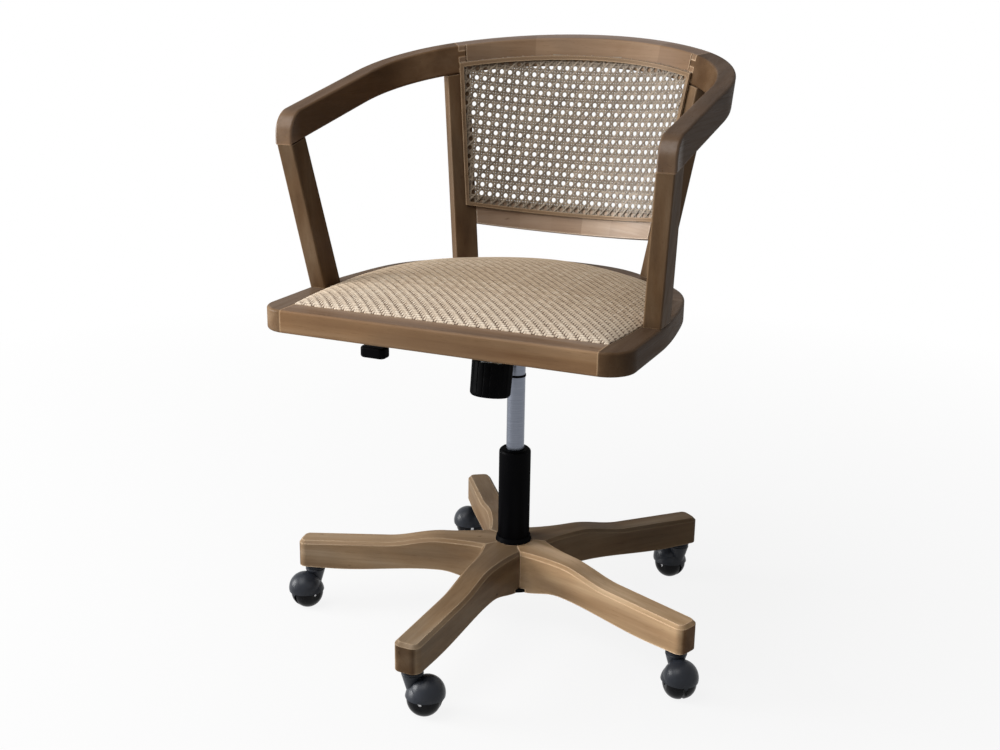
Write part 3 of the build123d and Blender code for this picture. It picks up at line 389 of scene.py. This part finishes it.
def pad_surface(x, y, foot):
    """Cloth laid over the pad. With a the distance from the front edge and b that from the egg's rim,
    depth = a + b - hypot(a, b) is smooth inside and 0 on the rim, and the height is brim + crown
    (depth / deepest)^0.75. Past the rim the cloth turns straight down, as far as the foot."""
    angle = np.arctan2(y, x)
    away = np.hypot(x, y)
    rim = pad_rim(angle)
    a = np.maximum(y - (pad_front - pad_centre), 0.0)
    b = np.maximum(0.5 * pad_half_width * (1.0 - (away / pad_rim(angle, egg=True)) ** 2), 0.0)
    depth = np.where(away < rim, a + b - np.hypot(a, b), 0.0)
    past = np.clip(away - rim, 0.0, foot)
    keep = np.where(away > rim, (rim - pad_foot_draw * past) / np.maximum(away, 1e-9), 1.0)
    z = pad_brim + pad_crown * np.power(depth / pad_deepest, pad_crown_power) - past
    return np.stack((x * keep, y * keep + pad_centre, z), -1), away - rim


def grid_faces(rows, columns):
    """Four corner numbers of each cell of a grid, counted row by row."""
    first = np.arange(rows - 1)[:, None] * columns + np.arange(columns - 1)[None, :]
    return np.stack((first, first + 1, first + columns + 1, first + columns), -1).reshape(-1, 4)


def mesh_piece(name, points, faces, finish):
    """New object at the origin from arrays of points and faces, smooth shaded."""
    mesh = bpy.data.meshes.new(name)
    mesh.from_pydata(points.reshape(-1, 3).tolist(), [], faces.tolist())
    mesh.polygons.foreach_set("use_smooth", np.ones(len(mesh.polygons), bool))
    mesh.materials.append(finish.material)
    mesh.update()
    piece = bpy.data.objects.new(name, mesh)
    bpy.context.scene.collection.objects.link(piece)
    return piece


def swollen(spacing=0.008, cap=0.0015):
    """How far pressure under the cloth lifts the pad, on a coarse grid held at the rim."""
    x = np.arange(-weave_half_width, weave_half_width + 0.001, spacing)
    y = np.arange(-cloth_half_depth, cloth_half_depth + 0.001, spacing)
    grid = np.stack(np.meshgrid(x, y), -1)
    rest, outside = pad_surface(grid[..., 0], grid[..., 1], cloth_foot)
    lift = np.zeros(rest.shape)
    cloth_piece = mesh_piece("pad_cloth_trial", rest, grid_faces(*rest.shape[:2]), zinc_plate)
    held = cloth_piece.vertex_groups.new(name="held")
    held.add(np.flatnonzero(outside.ravel() > -0.006).tolist(), 1.0, "REPLACE")
    cloth = cloth_piece.modifiers.new("cloth", "CLOTH")
    cloth.settings.quality = 6
    cloth.settings.vertex_group_mass = "held"
    cloth.settings.use_pressure = True
    cloth.settings.uniform_pressure_force = 4.0
    cloth.settings.tension_stiffness = 12.0
    cloth.settings.effector_weights.gravity = 0.0
    cloth.point_cache.frame_start = 1
    cloth.point_cache.frame_end = cloth_frames
    for moment in range(1, cloth_frames + 1):
        bpy.context.scene.frame_set(moment)
    shaped = cloth_piece.evaluated_get(bpy.context.evaluated_depsgraph_get()).to_mesh()
    settled = np.empty(len(shaped.vertices) * 3)
    shaped.vertices.foreach_get("co", settled)
    moved = settled.reshape(rest.shape) - rest
    length = np.linalg.norm(moved, axis=-1, keepdims=True)
    lift = moved * np.minimum(1.0, cap / np.maximum(length, 1e-9))
    bpy.data.objects.remove(cloth_piece)
    bpy.context.scene.frame_set(1)
    return x, y, lift


def between(x, y, values, at_x, at_y):
    """Values on a regular grid read off between its points along both axes."""
    column = np.clip((at_x - x[0]) / (x[1] - x[0]), 0, len(x) - 1.001)
    row = np.clip((at_y - y[0]) / (y[1] - y[0]), 0, len(y) - 1.001)
    i, j = column.astype(int), row.astype(int)
    a, b = (column - i)[..., None], (row - j)[..., None]
    lower = values[j, i] * (1 - a) + values[j, i + 1] * a
    upper = values[j + 1, i] * (1 - a) + values[j + 1, i + 1] * a
    return lower * (1 - b) + upper * b


half_columns = int(weave_half_width / cord_pitch)
half_rows = int(weave_half_depth / cord_pitch)
places = np.array((0.0, 0.3, 0.7))
flat_x = (np.arange(-half_columns, half_columns)[:, None] + places).ravel()
flat_y = (np.arange(-half_rows, half_rows)[:, None] + places).ravel()
cord_u, cord_v = np.meshgrid(flat_x, flat_y)
cell_u, cell_v = np.floor(cord_u).astype(int), np.floor(cord_v).astype(int)
in_u, in_v = cord_u - cell_u, cord_v - cell_v
step = (cell_u + cell_v) % 4
across_on_top = step < 2
float_along = np.where(across_on_top, (step + in_u) / 2, (((cell_v - cell_u) % 4) % 2 + in_v) / 2)
float_across = np.where(across_on_top, in_v, in_u)
lengthways = np.sin(np.pi * np.clip(float_along, 0, 1)) ** 0.5
height = lengthways * np.sin(np.pi * np.clip(float_across, 0, 1)) ** 0.6
height = np.where(across_on_top, 0.5 + 0.5 * height, height)
rng = np.random.default_rng(7)
tightness = rng.uniform(0.0, 0.3, (4 * half_rows, 4 * half_columns))
height = height + (1.0 - height) * tightness[cell_v, cell_u]
rest_points, outside = pad_surface(cord_u * cord_pitch, cord_v * cord_pitch, pad_foot)
trial_x, trial_y, trial_lift = swollen()
rest_points += between(trial_x, trial_y, trial_lift, cord_u * cord_pitch, cord_v * cord_pitch)
run_u = np.gradient(rest_points, axis=1)
run_v = np.gradient(rest_points, axis=0)
normal = np.cross(run_u, run_v)
normal /= np.maximum(np.linalg.norm(normal, axis=-1, keepdims=True), 1e-12)
settle = np.clip((pad_foot - outside) / cord_fade, 0.0, 1.0)
cord_points = rest_points + normal * ((height - cord_level) * cord_relief * settle)[..., None]
cord_faces = grid_faces(*cord_u.shape)
kept = (outside.ravel()[cord_faces] < pad_foot).all(axis=1)
used, cord_faces = np.unique(cord_faces[kept], return_inverse=True)
cord_faces = cord_faces.reshape(-1, 4)
cord_points = cord_points.reshape(-1, 3)[used]
rim_points = np.bincount(cord_faces.ravel()) < 4
cord_points[rim_points, 2] = pad_brim - pad_foot

paper_cord = Finish("paper_cord")
relief = paper_cord.add("Attribute", attribute_name="cord_height").outputs["Fac"]
tint = paper_cord.add("Attribute", attribute_name="cord_tint").outputs["Fac"]
fibre = paper_cord.noise(paper_cord.place, 900.0, 3.0, 0.6)
sun = paper_cord.noise(paper_cord.place, 7.0, 3.0)
speck = paper_cord.noise(paper_cord.place, 330.0, 2.0, 0.6)
towards_back = paper_cord.add("SeparateXYZ", {"Vector": paper_cord.place}).outputs[1]
# Painted light: the cord is made paler towards the front of the pad, where the light falls more strongly.
front_painted_light = paper_cord.spread(towards_back, -0.26, -0.10, 0.42, 0.0)
# Painted shade: where a cord sinks under its neighbours the colour is darkened, for the shade in the gaps of
# the weave.
gap_shade = paper_cord.spread(relief, 0.22, 0.78, 1.0, 0.0)
cord_colour = paper_cord.ramp(tint, (0.0, (0.46, 0.345, 0.235)), (0.5, (0.62, 0.490, 0.350)),
                              (1.0, (0.74, 0.630, 0.490)))
cord_colour = paper_cord.stain(cord_colour, fibre, 0.35, 0.7, 0.35, (0.74, 0.66, 0.56))
cord_colour = paper_cord.stain(cord_colour, sun, 0.4, 0.7, 0.25, (0.84, 0.74, 0.62))
cord_colour = paper_cord.mix(front_painted_light, cord_colour, (0.82, 0.73, 0.62))
cord_colour = paper_cord.stain(cord_colour, speck, 0.58, 0.70, 0.6, (0.55, 0.42, 0.30))
# Painted shade in the weave's gaps.
cord_colour = paper_cord.mix(gap_shade, cord_colour, (0.10, 0.055, 0.032), "MULTIPLY")
paper_cord.set(Base_Color=cord_colour, Specular_IOR_Level=0.3,
               Roughness=paper_cord.spread(fibre, 0.3, 0.7, 0.62, 0.8))
paper_cord.bump(fibre, 0.25, 0.0006)
seat_pad = mesh_piece("woven_seat_pad", cord_points, cord_faces, paper_cord)
tints = 400
u_tint, v_tint = rng.normal(0.5, 0.2, tints), rng.normal(0.5, 0.2, tints)
strand_tint = np.where(across_on_top, v_tint[cell_v % tints], u_tint[cell_u % tints])
for key, values in (("cord_height", height), ("cord_tint", np.clip(strand_tint, 0, 1))):
    layer = seat_pad.data.attributes.new(key, "FLOAT", "POINT")
    layer.data.foreach_set("value", values.ravel()[used].astype(np.float32))
closing = bmesh.new()
closing.from_mesh(seat_pad.data)
bmesh.ops.edgeloop_fill(closing, edges=[edge for edge in closing.edges if edge.is_boundary])
bmesh.ops.recalc_face_normals(closing, faces=closing.faces)
closing.to_mesh(seat_pad.data)
closing.free()
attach(seat_pad, "seat")
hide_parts("woven_seat", "seat_foam")


# Posts: two tapered front posts and two back posts, sawn along the grain and stained.
# They are screwed through the seat frame and dowelled up into the bow.
for name, shift, factor in (
        ("front_post_left", (0.2, 0.1, 0.3), 0.66), ("front_post_right", (1.4, 0.5, 0.9), 0.62),
        ("back_post_left", (2.6, 0.8, 0.2), 0.62), ("back_post_right", (3.3, 0.2, 0.6), 0.55)):
    post_wood = stained_wood(name + "_wood", lambda wood: plain_grain(wood, along_z, shift),
                             *toned(frame_tones, factor))
    post_wood.onto(name)


# Arm bow and lower rail: the arms are sawn from straight planks and finger-jointed to the
# crest, which is paler. The lower rail and the bead round the cane are bent to the back.
back_axis_y = -0.034
arm_tones = ((0.086, 0.045, 0.021), (0.126, 0.070, 0.034), (0.185, 0.113, 0.062))
nose_polish = (-0.17, -0.22)
for name, shift, factor in (("arm_left", (0.7, 0.4, 0.2), 0.85), ("arm_right", (1.9, 0.1, 0.5), 1.2)):
    arm_wood = stained_wood(name + "_wood", lambda wood: plain_grain(wood, along_y, shift),
                            *toned(arm_tones, factor), polished=nose_polish)
    arm_wood.onto(name)
crest_wood = stained_wood("crest_wood", lambda wood: bent_grain(wood, back_axis_y, 0.30, (0.3, 0.2, 0.1)),
                          (0.240, 0.147, 0.085), (0.340, 0.230, 0.145), (0.450, 0.330, 0.225),
                          staves=(0.071, 2941))
crest_wood.onto("crest_rail")
# The lower rail's tones are painted paler than the crest's, partly as a painted highlight for the shine along
# its middle.
rail_wood = stained_wood("lower_rail_wood", lambda wood: bent_grain(wood, back_axis_y, 0.26, (1.3, 0.6, 0.4)),
                         (0.275, 0.182, 0.122), (0.400, 0.290, 0.208), (0.535, 0.425, 0.330),
                         staves=(0.055, 2089))
rail_wood.onto("lower_back_rail")
bead_wood = stained_wood("bead_wood", lambda wood: bent_grain(wood, back_axis_y, 0.28, (2.3, 0.9, 0.7)),
                         (0.150, 0.092, 0.050), (0.220, 0.145, 0.086), (0.300, 0.210, 0.132))
bead_wood.onto("cane_bead")


# Cane panel: six-way webbing of split cane bent over the back's cone, with pairs of uprights,
# pairs of cross strands and both diagonals between them, leaving rows of round holes.
cane_lean = np.radians(12.1)
back_radius = 0.2375
cane_setback = 0.0011
cane_radius = back_radius - cane_setback
cane_height = 0.553
cane_middle = 0.753
cane_side_angle = np.radians(40.0)
cane_foot_lap = 0.028
cane_top_lap = 0.018
lower_rail_foot = 0.597
lower_rail_slope = np.radians(15.0)
bow_top = 0.8502
bow_thickness = 0.0434
bow_slope = 0.2
cane_column = 0.0134
cane_row = 0.0143
cane_strip = 0.0031
cane_strip_thickness = 0.00045
pair_sway = 0.00030
diagonal_sway = 0.00025
front_layer = -0.00055
back_layer = 0.00050
apex_height = cane_height - cane_radius / np.tan(cane_lean)


def on_cone(p, q, out):
    """Flat webbing bent over the cone without stretch: distance from the apex is hypot(p, q) and the
    angle round the cone is atan2(p, q) / sin(lean). The last value stands off along the normal."""
    slant = np.hypot(p, q)
    around = np.arctan2(p, q) / np.sin(cane_lean)
    radius = slant * np.sin(cane_lean) + out * np.cos(cane_lean)
    height = apex_height + slant * np.cos(cane_lean) - out * np.sin(cane_lean)
    return np.stack((radius * np.sin(around), back_axis_y + radius * np.cos(around), height), -1)


def in_cane(points):
    """True inside the cane's outline: between the laps on the lower rail and the crest, and within
    the sides' angle."""
    x, y, z = points[..., 0], points[..., 1], points[..., 2]
    back_y = back_axis_y + back_radius + (lower_rail_foot - cane_height) * np.tan(cane_lean)
    foot = lower_rail_foot - (y - back_y) * np.tan(lower_rail_slope) + cane_foot_lap
    top = bow_top - bow_thickness + bow_slope * y + cane_top_lap
    return (z > foot) & (z < top) & (np.abs(np.arctan2(x, y - back_axis_y)) < cane_side_angle)


def cane_strands(starts, direction, sway, phase, layer, samples=64):
    """Flat strips along parallel lines in the flat webbing, each cut to the cane's outline; along a
    line the strip stands off by layer + sway cos(2 pi t / pitch + phase)."""
    direction = np.array(direction) / np.hypot(*direction)
    side = np.array((-direction[1], direction[0]))
    t = np.linspace(-0.5, 0.5, 1501)
    line = starts[:, None, :] + t[None, :, None] * direction
    inside = in_cane(on_cone(line[..., 0], line[..., 1], 0.0))
    whole = inside.sum(axis=1) > 6
    starts, inside, phase = starts[whole], inside[whole], phase[whole]
    first = t[inside.argmax(axis=1)]
    last = t[len(t) - 1 - inside[:, ::-1].argmax(axis=1)]
    t = first[:, None] + (last - first)[:, None] * np.linspace(0.0, 1.0, samples)
    out = layer + sway * np.cos(2 * np.pi * t / (2 * cane_row) + phase[:, None])
    profile = np.array(((-0.5, 0.0), (-0.32, -0.5), (0.32, -0.5), (0.5, 0.0), (0.32, 0.5), (-0.32, 0.5)))
    middle = starts[:, None, :] + t[..., None] * direction
    flat = middle[:, :, None, :] + (profile[:, 0] * cane_strip)[None, None, :, None] * side
    stand = out[:, :, None] + profile[:, 1] * cane_strip_thickness
    points = on_cone(flat[..., 0], flat[..., 1], stand)
    strands, sides = len(starts), len(profile)
    ring = np.arange(sides)
    corner = (np.arange(strands)[:, None, None] * samples + np.arange(samples - 1)[None, :, None]) * sides
    a, b = corner + ring, corner + (ring + 1) % sides
    faces = np.stack((a, b, b + sides, a + sides), -1).reshape(-1, 4)
    shade = np.repeat(np.random.default_rng(strands).uniform(0, 1, strands), samples * sides)
    return points.reshape(-1, 3), faces, shade


mid_slant = (cane_middle - apex_height) / np.cos(cane_lean)
columns = np.arange(-18, 19) * cane_column
rows = mid_slant + np.arange(-13, 14) * cane_row
pair = 0.00202
upright_p = (columns[:, None] + np.array((-pair, pair))).ravel()
cross_q = (rows[:, None] + np.array((-pair, pair))).ravel()
diagonal = np.arange(-32, 33) + 0.5
crossings = np.stack((diagonal * cane_column, np.full(len(diagonal), mid_slant)), 1)
families = (
    cane_strands(np.stack((upright_p, np.full_like(upright_p, mid_slant)), 1), (0, 1), pair_sway,
                 np.tile((0.0, np.pi), len(columns)), 0.0),
    cane_strands(np.stack((np.zeros_like(cross_q), cross_q), 1), (1, 0), pair_sway,
                 np.tile((np.pi, 0.0), len(rows)), 0.0),
    cane_strands(crossings, (cane_column, cane_row), diagonal_sway, np.zeros(len(diagonal)), front_layer),
    cane_strands(crossings, (-cane_column, cane_row), diagonal_sway, np.full(len(diagonal), np.pi), back_layer),
)
counts = np.cumsum([0] + [len(points) for points, _, _ in families])
cane_points = np.concatenate([points for points, _, _ in families])
cane_faces = np.concatenate([faces + start for (_, faces, _), start in zip(families, counts)])
split_cane = Finish("split_cane")
cane_tint = split_cane.add("Attribute", attribute_name="strand_tint").outputs["Fac"]
cane_fibre = split_cane.noise(split_cane.place, 700.0, 3.0, 0.6)
cane_age = split_cane.noise(split_cane.place, 14.0, 3.0)
cane_colour = split_cane.ramp(cane_tint, (0.0, (0.155, 0.118, 0.082)), (0.55, (0.235, 0.185, 0.132)),
                              (1.0, (0.34, 0.275, 0.205)))
cane_colour = split_cane.stain(cane_colour, cane_fibre, 0.4, 0.7, 0.4, (0.62, 0.54, 0.45))
cane_colour = split_cane.stain(cane_colour, cane_age, 0.4, 0.7, 0.3, (0.80, 0.74, 0.66))
split_cane.set(Base_Color=cane_colour, Roughness=split_cane.spread(cane_fibre, 0.3, 0.7, 0.38, 0.55),
               Specular_IOR_Level=0.4)
split_cane.bump(cane_fibre, 0.12, 0.0003)
cane_web = mesh_piece("cane_web", cane_points, cane_faces, split_cane)
layer = cane_web.data.attributes.new("strand_tint", "FLOAT", "POINT")
layer.data.foreach_set("value", np.concatenate([shade for _, _, shade in families]).astype(np.float32))
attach(cane_web, "seat")
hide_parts("cane_panel")


# Studio: a plain pale floor that keeps the chair's shadow, a white surround, one large soft
# light overhead and a weaker one from the front left, and the camera at the photograph's place.
floor_mesh = bpy.data.meshes.new("studio_floor")
floor_mesh.from_pydata([(-9, -9, 0), (9, -9, 0), (9, 9, 0), (-9, 9, 0)], [], [(0, 1, 2, 3)])
studio_floor = bpy.data.objects.new("studio_floor", floor_mesh)
bpy.context.scene.collection.objects.link(studio_floor)
pale_floor = Finish("pale_floor")
pale_floor.set(Base_Color=(0.62, 0.62, 0.62, 1.0), Roughness=0.9, Specular_IOR_Level=0.1)
sight = pale_floor.add("LightPath")
seen = pale_floor.math("MAXIMUM", sight.outputs["Is Camera Ray"], sight.outputs["Is Glossy Ray"])
seen = pale_floor.math("MAXIMUM", seen, sight.outputs["Is Transmission Ray"])
white = pale_floor.add("Emission", {"Color": (1, 1, 1, 1), "Strength": 1.0})
far_off = pale_floor.add("VectorMath", {0: pale_floor.place}, operation="LENGTH").outputs["Value"]
white_share = pale_floor.spread(far_off, 0.4, 2.2, 0.88, 1.0)
blend = pale_floor.add("MixShader", {0: pale_floor.math("MULTIPLY", seen, white_share)})
pale_floor.join(pale_floor.shader.outputs[0], blend.inputs[1])
pale_floor.join(white.outputs[0], blend.inputs[2])
pale_floor.join(blend.outputs[0], pale_floor.tree.nodes["Material Output"].inputs["Surface"])
floor_mesh.materials.append(pale_floor.material)

world = bpy.data.worlds.new("white_surround")
bpy.context.scene.world = world
world.use_nodes = True
tree = world.node_tree
sight = tree.nodes.new("ShaderNodeLightPath")
first = tree.nodes.new("ShaderNodeMath")
first.operation = "MAXIMUM"
tree.links.new(sight.outputs["Is Camera Ray"], first.inputs[0])
tree.links.new(sight.outputs["Is Transmission Ray"], first.inputs[1])
second = tree.nodes.new("ShaderNodeMath")
second.operation = "MAXIMUM"
tree.links.new(first.outputs[0], second.inputs[0])
tree.links.new(sight.outputs["Is Glossy Ray"], second.inputs[1])
soft = tree.nodes["Background"]
soft.inputs["Color"].default_value = (1.0, 0.97, 0.94, 1.0)
soft.inputs["Strength"].default_value = 0.09
surround = tree.nodes.new("ShaderNodeBackground")
surround.inputs["Color"].default_value = (1, 1, 1, 1)
surround.inputs["Strength"].default_value = 1.0
chosen = tree.nodes.new("ShaderNodeMixShader")
tree.links.new(second.outputs[0], chosen.inputs[0])
tree.links.new(soft.outputs[0], chosen.inputs[1])
tree.links.new(surround.outputs[0], chosen.inputs[2])
tree.links.new(chosen.outputs[0], tree.nodes["World Output"].inputs["Surface"])


def softbox(name, place, aim, size, power):
    """Square area lamp at a place, turned to face a point."""
    lamp = bpy.data.lights.new(name, "AREA")
    lamp.size = size
    lamp.energy = power
    holder = bpy.data.objects.new(name, lamp)
    place, aim = np.array(place, float), np.array(aim, float)
    back = (place - aim) / np.linalg.norm(place - aim)
    right = np.cross((0.0, 1.0, 0.001), back)
    right /= np.linalg.norm(right)
    axes = np.stack((right, np.cross(back, right), back, place), 1)
    holder.matrix_world = Matrix(np.vstack((axes, (0, 0, 0, 1))).tolist())
    bpy.context.scene.collection.objects.link(holder)


softbox("overhead_softbox", (-0.8, -1.3, 2.5), (0, 0, 0.5), 2.0, 56.0)
softbox("left_softbox", (-2.8, -1.1, 1.0), (0, 0, 0.45), 1.4, 108.0)

camera = bpy.data.cameras.new("photo_camera")
camera.sensor_fit = "HORIZONTAL"
camera.sensor_width = 36.0
camera.lens = 47.97
viewer = bpy.data.objects.new("photo_camera", camera)
viewer.matrix_world = Matrix((
    (0.913071, -0.130557, 0.386338, 0.771083),
    (0.407541, 0.258248, -0.875910, -1.811354),
    (0.014586, 0.957216, 0.289006, 1.005772),
    (0.0, 0.0, 0.0, 1.0)))
bpy.context.scene.collection.objects.link(viewer)
bpy.context.scene.camera = viewer
bpy.context.scene.view_settings.view_transform = "Standard"
